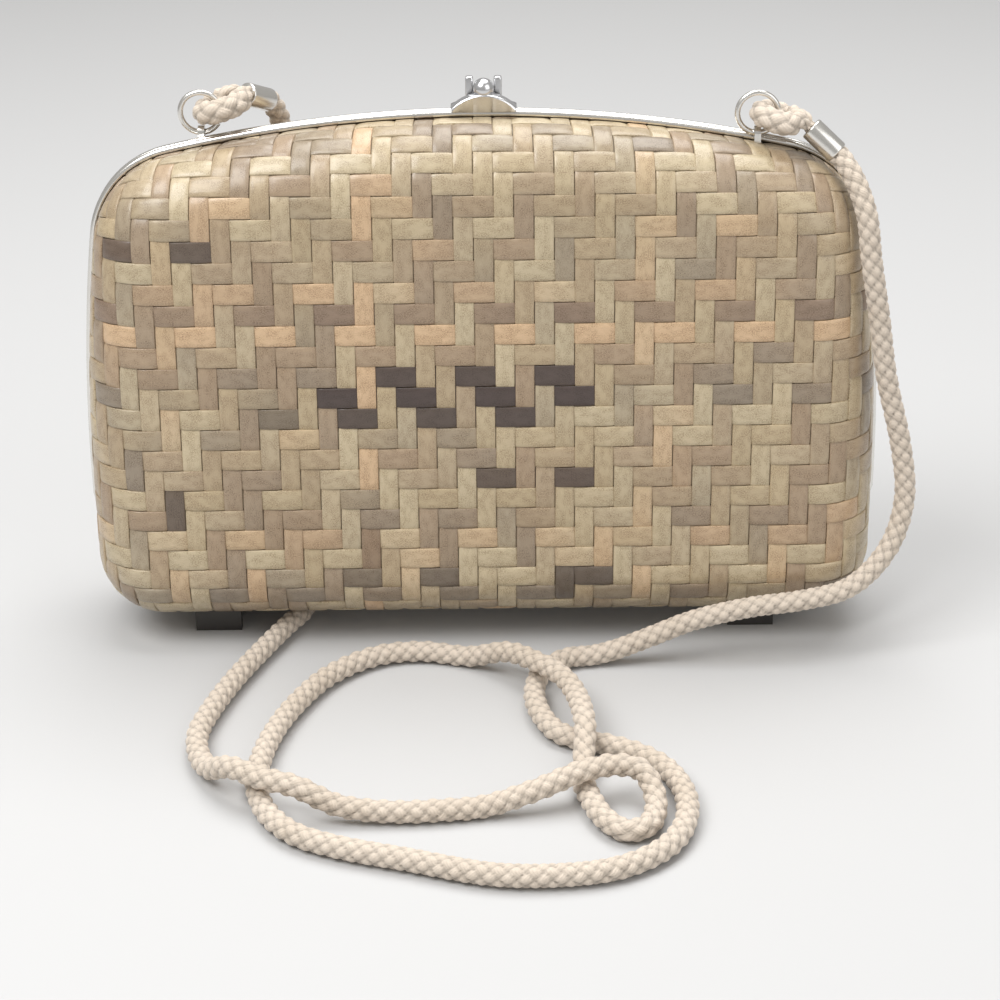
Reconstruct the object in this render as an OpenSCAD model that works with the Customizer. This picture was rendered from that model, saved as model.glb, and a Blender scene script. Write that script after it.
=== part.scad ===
// Woven box bag: two stiff halves covered with a twill of cane strips, a metal rim with a snap clasp,
// hinges under the base, and a braided shoulder strap on two split rings.
// The two halves meet on the XZ plane. +X is right, +Y is back, and the feet of the hinges stand on z = 0.

/* [Body] */
// Width over the sides
body_w = 200; // [180:1:220]
// Height of the woven body from base to the crown of the arch
body_h = 129; // [122:1:140]
// Depth of one half at mid height, from its rim to its face
half_depth = 20.5; // [19:0.5:26]
// Rounding between the sides and the face
edge_r = 16; // [12:0.5:16]
// How much deeper the base is than the top, as a share of the depth
depth_taper = 0.34; // [0:0.02:0.4]
// Radius of the arched top
arch_r = 350; // [300:5:420]
// Radius of the shoulders
shoulder_r = 24; // [20:1:30]
// Radius of the slow inward curve of the upper sides
side_r = 465; // [400:5:600]
// Height above the base at which that curve starts
side_from = 36; // [24:1:45]
// Radius of the bottom corners
corner_r = 17; // [17:0.5:24]
// Thickness of the stiff wall under the weave
wall_t = 1.6; // [1.2:0.1:2.4]
// Thickness of the fabric lining
lining_t = 0.6; // [0.4:0.1:1]
// Space between the two closed halves
part_gap = 0.3; // [0.2:0.05:0.6]

/* [Weave] */
// Width of an upright strip
column_pitch = 4.92; // [4.8:0.02:6]
// Width of a level strip
row_pitch = 5.38; // [5.2:0.02:6.5]
// How far a strip arches out between crossings
relief = 0.5; // [0.3:0.05:0.8]
// Plain edge of the mat next to the rim
plain_band = 6; // [5:0.5:10]

/* [Frame] */
// Thickness of the rim plate
rim_t = 1; // [0.8:0.1:1.4]
// How far the rim plate reaches in behind the edge of the shell
rim_in = 3.5; // [2.5:0.1:5]
// How far the rim stands out over the top and the sides
rim_out = 2; // [1.2:0.1:2.4]
// Height above the base at which the proud rim ends on each side
rim_end = 27; // [20:1:40]

/* [Hinges] */
// Height of the base above the ground
lift = 6.2; // [6:0.1:8]
// Distance of each hinge from the side
hinge_in = 30; // [24:1:38]
// Width of a hinge along its pin
hinge_w = 12; // [10:0.5:18]
// Radius of the hinge pin
pin_r = 1; // [0.8:0.05:1.2]
// Radius of the knuckles
knuckle_r = 2.8; // [2.4:0.1:2.9]
// Front to back reach of a hinge foot from the pin
foot_reach = 11; // [9:0.5:14]
// Thickness of a hinge leaf and of the foot under it
leaf_t = 1.2; // [1:0.1:1.4]

/* [Clasp] */
// Radius of the dome under the clasp
dome_r = 8.1; // [7:0.1:9]
// Height of the dome's upright skirt
skirt_h = 1.2; // [0.8:0.1:1.6]
// Rise of the dome above its skirt
dome_h = 2.7; // [2:0.1:3.2]
// Radius of the snap ball
ball_r = 2.7; // [2.2:0.1:3]
// Width of the yoke behind the ball
yoke_w = 7.8; // [7.6:0.1:9]
// Thickness of the yoke
yoke_t = 3.8; // [3:0.1:4.4]

/* [Rings] */
// Distance of each ring from the side
ring_in = 31.5; // [28:0.5:36]
// Mean radius of a split ring
ring_r = 5; // [4.5:0.05:5.5]
// Radius of the ring wire
wire_r = 0.7; // [0.6:0.05:0.8]
// Width of the split in a ring
ring_split = 0.5; // [0.3:0.1:0.8]

/* [Strap] */
// Diameter of the braided strap
strap_d = 5.6; // [5:0.1:5.8]
// Length of a metal ferrule
ferrule_l = 9; // [7:0.5:10]
// Wall of a ferrule
ferrule_t = 0.35; // [0.3:0.05:0.6]
// Diameter of the strap where it is doubled and swells
loop_d = 6.2; // [5.6:0.1:6.6]
// Length of the doubled strap between ring and ferrule
loop_l = 8.5; // [8:0.1:10]

/* [Hidden] */

cane = "#d9c49a";
nickel = "#c9c9cc";
cotton = "#e9dcc2";
satin = "#b79a6b";
fit = 0.05;            // running clearance round a pin
seat = 0.3;            // clearance of soft and moving pieces
round_fn = 48;

// The outline is a chain of tangent arcs: arch, shoulders, slow upper sides, straight sides, corners, base.
half_w = body_w / 2;
hinge_x = half_w - hinge_in;
ring_x = half_w - ring_in;
arch_z = body_h - arch_r;
arch_c = [0, arch_z];
side_c = [half_w - side_r, side_from];
// The shoulder's centre is where circles about the other two centres meet.
gap_c = side_c - arch_c;
gap_l = norm(gap_c);
gap_k = (pow(arch_r - shoulder_r, 2) - pow(side_r - shoulder_r, 2) + gap_l * gap_l) / (2 * gap_l);
gap_h = sqrt(pow(arch_r - shoulder_r, 2) - gap_k * gap_k);
shoulder_c = arch_c + gap_c * gap_k / gap_l + [gap_c[1], -gap_c[0]] * gap_h / gap_l;
corner_x = half_w - corner_r;
middle = [0, side_from];   // the outline only narrows above and below this height
rim_y = part_gap / 2 + rim_t;
wall_y = half_depth - edge_r;
quarter = PI / 2 * edge_r;
unroll = wall_y + quarter - edge_r;   // how far the flat mat reaches past the outline

function away(p, c) = (p - c) / norm(p - c);

// Outward direction at the nearest edge of the outline, and the distance to it, for a point right of centre.
function turn_of(p, c) = (p - c)[0] * (shoulder_c - c)[1] - (p - c)[1] * (shoulder_c - c)[0];
function on_arc(p, c, r) = [away(p, c), r - norm(p - c)];
function edge_right(p) =
    p[1] < corner_r
    ? (p[0] >= corner_x ? on_arc(p, [corner_x, corner_r], corner_r) : [[0, -1], p[1]])
    : p[1] < side_from ? [[1, 0], half_w - p[0]]
    : turn_of(p, side_c) > 0 ? on_arc(p, side_c, side_r)
    : turn_of(p, arch_c) < 0 ? on_arc(p, arch_c, arch_r)
    : on_arc(p, shoulder_c, shoulder_r);
// Height of the outline's top at a distance from the middle.
function top_at(x) =
    x * (arch_r - shoulder_r) < shoulder_c[0] * arch_r
    ? arch_z + sqrt(arch_r * arch_r - x * x)
    : shoulder_c[1] + sqrt(pow(shoulder_r, 2) - pow(x - shoulder_c[0], 2));
function edge(p) =
    let (e = edge_right([abs(p[0]), p[1]]))
    p[0] < 0 ? [[-e[0][0], e[0][1]], e[1]] : e;

// Depth grows toward the base.
function deepen(z) = 1 + depth_taper * (0.5 - z / body_h);

// A point of one half: place on the outline plane, depth from the rim, and side (-1 front, 1 rear).
function place(q, y, side) = [q[0], side * (rim_y + y * deepen(q[1])), q[1] + lift];

// Wraps the flat mat over the half: along the side, round the edge, then across the face.
function wrap(p, h, side) =
    let (e = edge(p), n = e[0], d = e[1] + unroll)
    d < wall_y
    ? place(p + n * (e[1] + h), d, side)
    : let (a = min(90, (d - wall_y) / edge_r * 180 / PI),
           inset = d < wall_y + quarter ? edge_r * (1 - cos(a)) : e[1])
      place(p + n * (e[1] - inset + h * cos(a)), wall_y + (edge_r + h) * sin(a), side);

// Distance from the middle to the outline, grown by g, in a direction.
function reach(dir, g, low = 0, high = 260, steps = 26) =
    let (mid = (low + high) / 2)
    steps == 0 ? mid
    : edge(middle + dir * mid)[1] + g > 0 ? reach(dir, g, mid, high, steps - 1)
    : reach(dir, g, low, mid, steps - 1);
function rim_point(angle, g) = middle + [cos(angle), sin(angle)] * reach([cos(angle), sin(angle)], g);

// Twill of two over two: whole cells of the mat that lie clear of its plain edge.
weave_from = [-1.4, 1.6];   // where the first column and row start
columns = ceil((half_w + unroll) / column_pitch) + 1;
rows_up = ceil((body_h + unroll) / row_pitch);
rows_down = ceil(unroll / row_pitch) + 1;
function knot(i, j) = weave_from + [i * column_pitch, j * row_pitch];
function sound(i, j) = min([for (u = [0, 1], v = [0, 1]) edge(knot(i + u, j + v))[1]]) + unroll >= plain_band;
cell_ok = [for (i = [-columns : columns]) [for (j = [-rows_down : rows_up]) sound(i, j)]];
function ok(i, j) =
    abs(i) <= columns && j >= -rows_down && j <= rows_up && cell_ok[i + columns][j + rows_down];
function phase(i, j) = ((i + j + 1) % 4 + 4) % 4;

// Corner loop of each float, level floats two columns wide and upright ones two rows tall, cut at the edge.
function level_cells(i, j) = [for (k = [0, 1]) if (ok(i + k, j)) i + k];
function upright_cells(i, j) = [for (k = [0, 1]) if (ok(i, j + k)) j + k];
function level_loop(c, j) =
    concat([for (i = [c[0] : c[len(c) - 1] + 1]) [i, j]], [for (i = [c[len(c) - 1] + 1 : -1 : c[0]]) [i, j + 1]]);
function upright_loop(i, c) =
    concat([for (j = [c[0] : c[len(c) - 1] + 1]) [i + 1, j]], [for (j = [c[len(c) - 1] + 1 : -1 : c[0]]) [i, j]]);
floats = [
    for (i = [-columns - 1 : columns], j = [-rows_down - 1 : rows_up])
        let (f = phase(i, j))
        if (f == 0 && len(level_cells(i, j)) > 0) level_loop(level_cells(i, j), j)
        else if (f == 2 && len(upright_cells(i, j)) > 0) upright_loop(i, upright_cells(i, j))
];

function sorted(v) =
    len(v) < 2 ? v
    : let (pivot = v[floor(len(v) / 2)][0])
      concat(sorted([for (e = v) if (e[0] < pivot) e]), [for (e = v) if (e[0] == pivot) e],
             sorted([for (e = v) if (e[0] > pivot) e]));
function touching(i, j) = [for (u = [-1, 0], v = [-1, 0]) ok(i + u, j + v) ? 1 : 0] * [1, 1, 1, 1];
function bearing(p) = atan2(p[1] - middle[1], p[0] - middle[0]);
// Knots on the border of the woven part, in order round the middle.
border = [for (e = sorted([
    for (i = [-columns : columns + 1], j = [-rows_down : rows_up + 1])
        if (touching(i, j) > 0 && touching(i, j) < 4) [bearing(knot(i, j)), i, j]])) e];
border_n = len(border);

knots_up = rows_up + rows_down + 2;
function knot_id(i, j) = (i + columns) * knots_up + j + rows_down;
knots = [for (i = [-columns : columns + 1], j = [-rows_down : rows_up + 1]) knot(i, j)];

// Inner lines of a half, from its rim to the middle of its face, for a wall inset by t.
function inner_line(angle, t, side) =
    let (q = rim_point(angle, 0), n = edge(q)[0], r = edge_r - t)
    [place(q - n * t, 0, side),
     place(q - n * t, wall_y, side),
     place(q - n * (t + r * (1 - cos(45))), wall_y + r * sin(45), side),
     place(q - n * edge_r, wall_y + r, side)];

function flip(faces, side) = side < 0 ? faces : [for (f = faces) [for (k = [len(f) - 1 : -1 : 0]) f[k]]];
function next(k, n) = (k + 1) % n;

// One half: woven outside, plain edge, rim, smooth inside.
module woven_half(side) {
    bumps = [for (f = floats) let (c = [for (k = f) knot(k[0], k[1])]) [for (p = c) 1] * c / len(c)];
    base = len(knots);
    rim0 = base + len(bumps);
    ring0 = rim0 + border_n;
    lines = 4;
    points = concat(
        [for (p = knots) wrap(p, 0, side)],
        [for (p = bumps) wrap(p, relief, side)],
        [for (b = border) place(rim_point(b[0], 0), 0, side)],
        [for (b = border) each inner_line(b[0], wall_t, side)],
        [place(middle, half_depth - wall_t, side)]);
    centre = len(points) - 1;
    faces = concat(
        [for (f = [0 : len(floats) - 1]) let (loop = floats[f], n = len(loop))
            each [for (k = [0 : n - 1])
                let (a = loop[k], b = loop[next(k, n)]) [knot_id(b[0], b[1]), knot_id(a[0], a[1]), base + f]]],
        [for (k = [0 : border_n - 1])
            let (m = next(k, border_n), a = border[k], b = border[m],
                 va = knot_id(a[1], a[2]), vb = knot_id(b[1], b[2]))
            each [[va, vb, rim0 + k], [vb, rim0 + m, rim0 + k],
                  [rim0 + k, rim0 + m, ring0 + k * lines], [rim0 + m, ring0 + m * lines, ring0 + k * lines]]],
        [for (k = [0 : border_n - 1], l = [0 : lines - 2])
            let (a = ring0 + k * lines + l, b = ring0 + next(k, border_n) * lines + l)
            each [[a, b, a + 1], [b, b + 1, a + 1]]],
        [for (k = [0 : border_n - 1])
            [ring0 + k * lines + lines - 1, ring0 + next(k, border_n) * lines + lines - 1, centre]]);
    polyhedron(points, flip(faces, side));
}

// Fabric lining glued inside a half.
lining_n = 22;
module lining(side) {
    outer_t = wall_t + 0.1;
    inner_t = outer_t + lining_t;
    lines = 4;
    function angle(k) = bearing(rim_lining[k]);
    rim_lining = [for (k = [0 : lining_n - 1]) rim_point(360 * k / lining_n + 360 / lining_n / 2, 0)];
    points = concat(
        [for (k = [0 : lining_n - 1]) each inner_line(angle(k), outer_t, side)],
        [for (k = [0 : lining_n - 1]) each inner_line(angle(k), inner_t, side)],
        [place(middle, half_depth - outer_t, side), place(middle, half_depth - inner_t, side)]);
    inner0 = lining_n * lines;
    centre = 2 * inner0;
    faces = concat(
        [for (k = [0 : lining_n - 1], l = [0 : lines - 2])
            let (a = k * lines + l, b = next(k, lining_n) * lines + l)
            each [[b, a, a + 1], [b + 1, b, a + 1],
                  [inner0 + a, inner0 + b, inner0 + a + 1], [inner0 + b, inner0 + b + 1, inner0 + a + 1]]],
        [for (k = [0 : lining_n - 1])
            let (a = k * lines, b = next(k, lining_n) * lines, e = lines - 1)
            each [[a, b, inner0 + a], [b, inner0 + b, inner0 + a],
                  [b + e, a + e, centre], [inner0 + a + e, inner0 + b + e, centre + 1]]]);
    polyhedron(points, flip(faces, side));
}

// Flat rim plate of a half. Its outer edge stands proud over the top and sides.
rim_n = 120;
module rim_plate(side) {
    angles = [for (k = [0 : rim_n - 1]) 360 * k / rim_n];
    outer = [for (a = angles) let (q = rim_point(a, 0)) q[1] > rim_end ? q + edge(q)[0] * rim_out : q];
    inner = [for (a = angles) let (q = rim_point(a, 0)) q - edge(q)[0] * rim_in];
    translate([0, side < 0 ? -part_gap / 2 : rim_y, lift])
        rotate([90, 0, 0])
            linear_extrude(rim_t)
                difference() {
                    polygon(outer);
                    polygon(inner);
                }
}

// Half of the dome that carries the clasp, standing on the crown of a rim.
crown_z = lift + body_h + rim_out;
dome_round = (dome_r * dome_r + dome_h * dome_h) / (2 * dome_h);
dome_half = asin(dome_r / dome_round);
module half_dome(side) {
    arc = [for (k = [0 : 12]) let (a = dome_half * (1 - k / 12))
        [dome_round * sin(a), skirt_h + dome_h - dome_round * (1 - cos(a))]];
    translate([0, 0, crown_z])
        difference() {
            rotate([0, 0, side < 0 ? 180 : 0])
                rotate_extrude(angle = 180, $fn = round_fn)
                    polygon(concat([[0, 0], [dome_r, 0]], arc));
            translate([-dome_r - 1, -part_gap / 2, -1])
                cube([2 * dome_r + 2, part_gap, skirt_h + dome_h + 2]);
        }
}
dome_top = crown_z + skirt_h + dome_h;
ball_y = part_gap / 2 + ball_r + 0.1;
ball_z = dome_top + 0.2;
yoke_top = ball_z + ball_r + 0.9;
yoke_bore = ball_r + seat;

// Split ring and the eyelet that holds it on a rim. The rings stand just in front of and behind the parting.
wire_z = lift + top_at(ring_x) + rim_out + wire_r + 0.05;
ring_z = wire_z + ring_r;
eyelet_bore = wire_r + 0.25;
eyelet_r = eyelet_bore + 0.7;
eyelet_w = 1.6;
ring_y = rim_y + eyelet_r + 0.05;
module eyelet(x, side) {
    seat_z = wire_z - wire_r - rim_out + 0.35;
    translate([x - eyelet_w / 2, 0, 0])
        difference() {
            union() {
                translate([0, side * ring_y, wire_z])
                    rotate([0, 90, 0]) cylinder(r = eyelet_r, h = eyelet_w, $fn = round_fn);
                translate([0, min(side * rim_y, side * (ring_y + eyelet_r)), seat_z])
                    cube([eyelet_w, ring_y + eyelet_r - rim_y, wire_z - seat_z]);
            }
            translate([-1, side * ring_y, wire_z])
                rotate([0, 90, 0]) cylinder(r = eyelet_bore, h = eyelet_w + 2, $fn = round_fn);
        }
}
split_at = 62;   // degrees from the lowest point of the ring to its split
module split_ring(x, side) {
    open = ring_split / ring_r * 180 / PI;
    translate([x, side * ring_y, ring_z])
        rotate([90, 0, 0])
            rotate([0, 0, -90 + split_at])
                rotate_extrude(angle = 360 - open, $fn = round_fn)
                    translate([ring_r, 0]) circle(wire_r, $fn = round_fn);
}

// Strap ends: the strap is doubled round the ring wire, and a crimped ferrule binds it to the long run.
strap_r = strap_d / 2;
loop_r = loop_d / 2;
fold_r = wire_r + 0.25 + loop_r;
right_lean = -15;   // pitch of the right loop, degrees above level
right_turn = -12;   // yaw of the right loop, degrees toward the back
left_lean = 15;
left_turn = 42;
function along(lean, turn) = [cos(turn) * cos(lean), sin(turn), cos(turn) * sin(lean)];
function wire_at(x, side, lean) = [x + ring_r * cos(lean), side * ring_y, ring_z + ring_r * sin(lean)];
right_mouth = wire_at(ring_x, -1, right_lean) + loop_l * along(right_lean, right_turn);
left_mouth = wire_at(-ring_x, 1, left_lean) + loop_l * along(left_lean, left_turn);
right_run = away([0.72, -0.24, -0.65], [0, 0, 0]);   // direction of the right ferrule
left_run = away([0.55, 0.75, -0.37], [0, 0, 0]);     // direction of the left ferrule
ferrule_r = strap_r - 0.2 + ferrule_t;
module face_to(dir) {
    rotate([0, acos(dir[2]), atan2(dir[1], dir[0])]) children();
}
// Route of a doubled end: out of the ferrule, round the wire and back, squeezed side by side at the mouth.
pinch_r = ferrule_r / 2 - 0.05;
squeeze = [[0.02, pinch_r], [0.8, pinch_r], [2.8, pinch_r + 0.65]];   // distance from the mouth, strand radius
function loop_route(x, side, lean, turn, mouth, run) =
    let (d = along(lean, turn), w = [-sin(turn) * cos(lean), cos(turn), -sin(turn) * sin(lean)],
         c = wire_at(x, side, lean), q = away(w - run * (w * run), [0, 0, 0]))
    concat(
        [for (k = [0 : 2]) mouth - run * squeeze[k][0] + q * (squeeze[k][1] + 0.03)],
        [for (a = [-25 : 25 : 205]) let (m = min(max(a, 0), 180))
            c - d * fold_r * sin(m) + w * fold_r * cos(m) + d * (m == a ? 0 : 0.3 * loop_l)],
        [for (k = [2 : -1 : 0]) mouth - run * squeeze[k][0] - q * (squeeze[k][1] + 0.03)]);
loop_steps = 16;
function squeezed(k) = k < 3 ? squeeze[k][1] : loop_r;
loop_radii = [for (k = [0 : loop_steps - 1]) squeezed(min(k, loop_steps - 1 - k))];
module strap_loop(x, side, lean, turn, mouth, run) {
    tube(loop_route(x, side, lean, turn, mouth, run), loop_radii);
}
module ferrule(mouth, run) {
    translate(mouth) face_to(run)
        difference() {
            cylinder(r = ferrule_r, h = ferrule_l, $fn = round_fn);
            translate([0, 0, ferrule_l / 2]) cylinder(r = ferrule_r - ferrule_t, h = ferrule_l, $fn = round_fn);
        }
}

// Long run of the strap. Points chosen along its lay, from the right ferrule to the ground, round its loops,
// and under the base, then behind the rear half to the left ferrule.
ground = strap_r + 0.2;
over = ground + strap_d + 0.3;
side_x = half_w - 100;   // the strap hangs beside the right-hand side
front_route = [
    right_mouth + right_run * (ferrule_l - 3), right_mouth + right_run * (ferrule_l + 0.1),
    [side_x + 92, -9.5, 121], [side_x + 97.5, -13.5, 109], [side_x + 100.5, -14, 91], [side_x + 103, -14, 72],
    [side_x + 107, -14, 54], [side_x + 109, -16, 41], [side_x + 108, -20, 29], [side_x + 102, -25, 20],
    [91, -28, 15], [78.5, -29, 13], [66, -29, 11.5], [53, -29, 8], [40, -29.5, 4.5], [28, -32, ground],
    [21, -34.5, ground], [15.5, -40.5, ground], [13, -47.5, ground], [12.5, -56, ground],
    [14.5, -66, ground], [18, -73, ground], [23, -76.5, ground], [29, -79, ground], [36.5, -83.5, ground],
    [42, -89.5, ground], [45.5, -98, ground], [46.5, -107, ground], [45, -116.5, ground], [41, -124.5, ground],
    [34, -131, ground], [25, -135, ground], [4.5, -136, ground], [-17.5, -129, ground], [-33, -123.5, ground],
    [-42.5, -118, ground], [-49, -109.5, ground], [-52.5, -99, ground], [-53, -88, ground],
    [-51.5, -75, ground], [-47, -59, ground], [-38.5, -42, ground], [-27, -32, ground], [-16, -30, ground],
    [-4, -33, ground], [6, -39.5, 7.5], [13, -47.5, over], [18.5, -54, over], [22, -63, over],
    [24, -79.5, over], [23.5, -88, 5.5], [23, -95, ground], [24.5, -104, ground], [27.5, -113, ground],
    [32, -118, ground], [36.5, -116.5, ground], [39, -110, ground], [39, -104, 4.5], [36.5, -99.5, 7.5],
    [31, -99, over], [23, -101.5, over], [12, -105, 6], [0, -107, ground], [-10, -108.5, ground],
    [-20, -109, ground], [-33, -108.5, 4.5], [-43, -106.5, 8.5], [-51.5, -103, over], [-58.5, -97.5, 8.5],
    [-64.5, -90, 4], [-68, -81, ground], [-69, -72, ground], [-67.5, -62, ground], [-63, -45, ground],
    [-57, -28, ground], [-51.5, -14, ground], [-48, -6, ground], [-47.5, -2, ground], [-47.5, -0.05, ground]];
back_route = [
    [-47.5, 0.05, ground], [-47.5, 2, ground], [-47.5, 9, ground], [-48, 19, 3.8], [-49, 27.5, 9.5], [-50, 30.5, 22],
    [-51, 29.5, 50], [-52, 28, 85], [-51.5, 26, 110], [-50, 22, 126],
    left_mouth + left_run * (ferrule_l + 0.1), left_mouth + left_run * (ferrule_l - 3)];
strap_sides = 8;
plug_r = ferrule_r - ferrule_t - fit;   // the strap is thinner inside a ferrule
front_radii = [for (k = [0 : len(front_route) - 1]) k < 2 ? plug_r : strap_r];
back_radii = [for (k = [0 : len(back_route) - 1]) k > len(back_route) - 3 ? plug_r : strap_r];

// A tube along points, with a ring of corners square to the path at each one.
function heading(r, k) = away(r[min(k + 1, len(r) - 1)], r[max(k - 1, 0)]);
function side_of(t) = away(cross(t, abs(t[2]) > 0.8 ? [0, 1, 0] : [0, 0, 1]), [0, 0, 0]);
// Sides carried along the path without twist.
function carried(r, k = 0, last = undef) =
    let (t = heading(r, k), s = is_undef(last) ? side_of(t) : away(last - t * (last * t), [0, 0, 0]))
    k == len(r) - 1 ? [s] : concat([s], carried(r, k + 1, s));
module tube(route, radii) {
    n = strap_sides;
    sides = carried(route);
    points = [for (k = [0 : len(route) - 1])
        let (t = heading(route, k), s = sides[k], u = cross(t, s))
        each [for (m = [0 : n - 1]) route[k] + radii[k] * (s * cos(360 * m / n) + u * sin(360 * m / n))]];
    faces = concat(
        [[for (m = [n - 1 : -1 : 0]) m], [for (m = [0 : n - 1]) (len(route) - 1) * n + m]],
        [for (k = [0 : len(route) - 2], m = [0 : n - 1])
            let (a = k * n + m, b = k * n + next(m, n)) each [[a, b, a + n], [b, b + n, a + n]]]);
    polyhedron(points, faces);
}

// Hinges under the base. The front leaf has the middle knuckle and the rear leaf the two outer ones.
axis_z = lift / 2;
knuckle_share = 0.5;
middle_w = hinge_w * knuckle_share;
outer_w = (hinge_w - middle_w) / 2 - seat;
foot_in = knuckle_r + 0.9;
module knuckle(x, w) {
    translate([x, 0, axis_z]) rotate([0, 90, 0]) cylinder(r = knuckle_r, h = w, $fn = round_fn);
}
module arm(x, w, side) {
    translate([x, side < 0 ? -foot_reach : 0, lift - leaf_t]) cube([w, foot_reach, leaf_t]);
}
module hinge_leaf(x, side) {
    low = x - hinge_w / 2;
    spans = side < 0 ? [[x - middle_w / 2, middle_w]]
                     : [[low, outer_w], [low + hinge_w - outer_w, outer_w]];
    difference() {
        union() {
            for (s = spans) {
                knuckle(s[0], s[1]);
                arm(s[0], s[1], side);
            }
            translate([low, side < 0 ? -foot_reach : foot_in, lift - leaf_t])
                cube([hinge_w, foot_reach - foot_in, leaf_t]);
            translate([low, side < 0 ? -foot_reach : foot_reach - leaf_t - 1, 0])
                cube([hinge_w, leaf_t + 1, lift - leaf_t / 2]);
        }
        translate([low - 1, 0, axis_z]) rotate([0, 90, 0])
            cylinder(r = pin_r + fit, h = hinge_w + 2, $fn = round_fn);
        // flat on top of the knuckles, under the parting of the two halves
        translate([low - 1, -knuckle_r, lift]) cube([hinge_w + 2, 2 * knuckle_r, knuckle_r]);
    }
}
module hinge_pin(x) {
    translate([x - hinge_w / 2, 0, axis_z]) rotate([0, 90, 0]) cylinder(r = pin_r, h = hinge_w, $fn = round_fn);
}

module front_shell() { color(cane) woven_half(-1); }
module front_lining() { color(satin) lining(-1); }
module front_frame() { color(nickel) rim_plate(-1); }
module front_clasp() {
    color(nickel) union() {
        half_dome(-1);
        translate([0, -ball_y, ball_z]) sphere(ball_r, $fn = round_fn);
    }
}
module right_eyelet() { color(nickel) eyelet(ring_x, -1); }
module right_ring() { color(nickel) split_ring(ring_x, -1); }
module right_strap_loop() { color(cotton) strap_loop(ring_x, -1, right_lean, right_turn, right_mouth, right_run); }
module right_ferrule() { color(nickel) ferrule(right_mouth, right_run); }
module strap_front() { color(cotton) tube(front_route, front_radii); }
module front_hinge_left() { color(nickel) hinge_leaf(-hinge_x, -1); }
module front_hinge_right() { color(nickel) hinge_leaf(hinge_x, -1); }
module hinge_pin_left() { color(nickel) hinge_pin(-hinge_x); }
module hinge_pin_right() { color(nickel) hinge_pin(hinge_x); }

module rear_shell() { color(cane) woven_half(1); }
module rear_lining() { color(satin) lining(1); }
module rear_frame() { color(nickel) rim_plate(1); }
// The yoke has a round notch, and its two ears stand beside the ball.
module rear_clasp() {
    color(nickel) difference() {
        union() {
            half_dome(1);
            translate([-yoke_w / 2, part_gap / 2, crown_z + skirt_h])
                cube([yoke_w, yoke_t / 2, yoke_top - crown_z - skirt_h]);
            translate([-yoke_w / 2, part_gap / 2 - yoke_t / 2, dome_top + seat])
                cube([yoke_w, yoke_t, yoke_top - dome_top - seat]);
        }
        translate([0, -ball_y - ball_r, ball_z]) rotate([-90, 0, 0])
            cylinder(r = yoke_bore, h = ball_y + ball_r + part_gap / 2 + 0.5, $fn = round_fn);
    }
}
module left_eyelet() { color(nickel) eyelet(-ring_x, 1); }
module left_ring() { color(nickel) split_ring(-ring_x, 1); }
module left_strap_loop() { color(cotton) strap_loop(-ring_x, 1, left_lean, left_turn, left_mouth, left_run); }
module left_ferrule() { color(nickel) ferrule(left_mouth, left_run); }
module strap_back() { color(cotton) tube(back_route, back_radii); }
module rear_hinge_left() { color(nickel) hinge_leaf(-hinge_x, 1); }
module rear_hinge_right() { color(nickel) hinge_leaf(hinge_x, 1); }

front_shell();
front_lining();
front_frame();
front_clasp();
right_eyelet();
right_ring();
right_strap_loop();
right_ferrule();
strap_front();
front_hinge_left();
front_hinge_right();
hinge_pin_left();
hinge_pin_right();
rear_shell();
rear_lining();
rear_frame();
rear_clasp();
left_eyelet();
left_ring();
left_strap_loop();
left_ferrule();
strap_back();
rear_hinge_left();
rear_hinge_right();
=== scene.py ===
# %% [markdown]
# Woven box bag
#
# A hard clutch in two halves, covered with flat cane strips in a twill, with a thin metal rim, a snap
# clasp and a braided cotton strap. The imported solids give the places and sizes, except where a cell says
# that it departs from them. This lesson dresses them: each surface below is a formula on a grid, worked
# out with numpy and handed to Blender whole.

import bpy
import numpy as np
from mathutils import Matrix


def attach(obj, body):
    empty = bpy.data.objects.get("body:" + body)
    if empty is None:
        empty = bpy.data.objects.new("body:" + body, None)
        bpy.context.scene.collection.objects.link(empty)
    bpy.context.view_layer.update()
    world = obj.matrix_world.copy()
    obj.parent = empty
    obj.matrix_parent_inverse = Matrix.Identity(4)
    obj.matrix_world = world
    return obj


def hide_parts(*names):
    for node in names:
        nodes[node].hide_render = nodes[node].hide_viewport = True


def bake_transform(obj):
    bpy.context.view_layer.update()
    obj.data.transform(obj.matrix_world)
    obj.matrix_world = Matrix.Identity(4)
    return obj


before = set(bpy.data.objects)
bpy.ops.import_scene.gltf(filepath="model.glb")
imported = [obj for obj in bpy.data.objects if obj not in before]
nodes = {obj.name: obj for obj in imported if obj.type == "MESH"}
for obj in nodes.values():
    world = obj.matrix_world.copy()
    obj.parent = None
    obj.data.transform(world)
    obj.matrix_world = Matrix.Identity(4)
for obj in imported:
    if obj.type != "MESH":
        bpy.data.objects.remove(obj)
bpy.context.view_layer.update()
rng = np.random.default_rng(11)
MM = 0.001

# %% [markdown]
# The camera stands at the height of a seated eye and looks down 24 degrees. A long lens keeps the sides
# of the bag upright. It could be aimed by a constraint, but two plain turns are easier to read: one
# tilts the view down, and one rolls it by about half a degree.

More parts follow.
